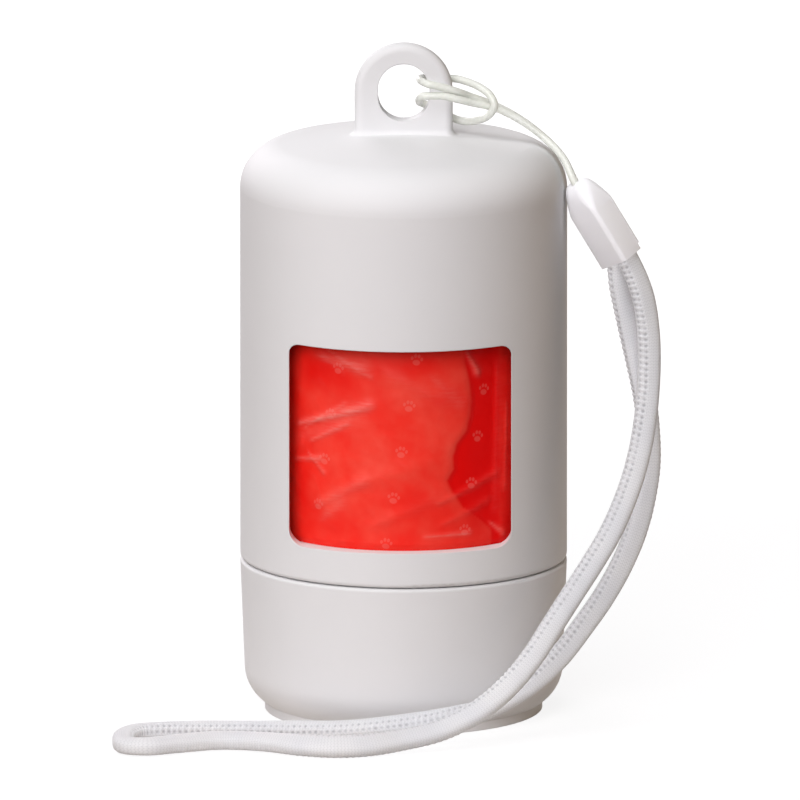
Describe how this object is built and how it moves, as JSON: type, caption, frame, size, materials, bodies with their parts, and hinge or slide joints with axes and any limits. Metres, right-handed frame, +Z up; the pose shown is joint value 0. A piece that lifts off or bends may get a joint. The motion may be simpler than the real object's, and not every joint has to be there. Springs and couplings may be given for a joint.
{
  "type": "dog waste bag dispenser",
  "caption": "Domed round case over a twist-lock cap, with a window on a roll of bags, a lanyard tab and a knitted wrist strap on a hitched cord.",
  "frame": {"origin": "centre of the foot ring's underside, where the dispenser stands", "axes": "+Z up along the case's axis, the window faces -Y, and the lanyard hangs on the +X side"},
  "size_m": [0.067, 0.0511, 0.0829],
  "materials": {
    "case_plastic": "satin moulded, fine grain",
    "core_board": "uncoated wound board",
    "bag_film": "thin glossy film, creased",
    "hitch_nylon": "clear-white nylon",
    "ferrule_plastic": "polished moulded",
    "strap_knit": "fine tubular knit"
  },
  "bodies": {
    "cap": {"cap": "case_plastic"},
    "roll_core": {"roll_core": "core_board"},
    "housing": {"housing": "case_plastic", "hitch_cord": "hitch_nylon", "cord_knot": "hitch_nylon", "ferrule_body": "ferrule_plastic", "ferrule_lid": "ferrule_plastic", "wrist_strap": "strap_knit"},
    "bag_roll": {"bag_roll": "bag_film", "loose_bag": "bag_film"}
  },
  "joints": [
    {"name": "twist_lock", "type": "hinge", "parent": "cap", "child": "roll_core", "pos_m": [0, 0, 0.0188], "axis": [0, 0, 1], "range_deg": [0, 32]},
    {"name": "lift_off", "type": "slide", "parent": "roll_core", "child": "housing", "axis": [0, 0, 1], "range_m": [0, 0.07]},
    {"name": "roll_spin", "type": "hinge", "parent": "roll_core", "child": "bag_roll", "pos_m": [0, 0, 0.0333], "axis": [0, 0, 1], "continuous": true}
  ]
}
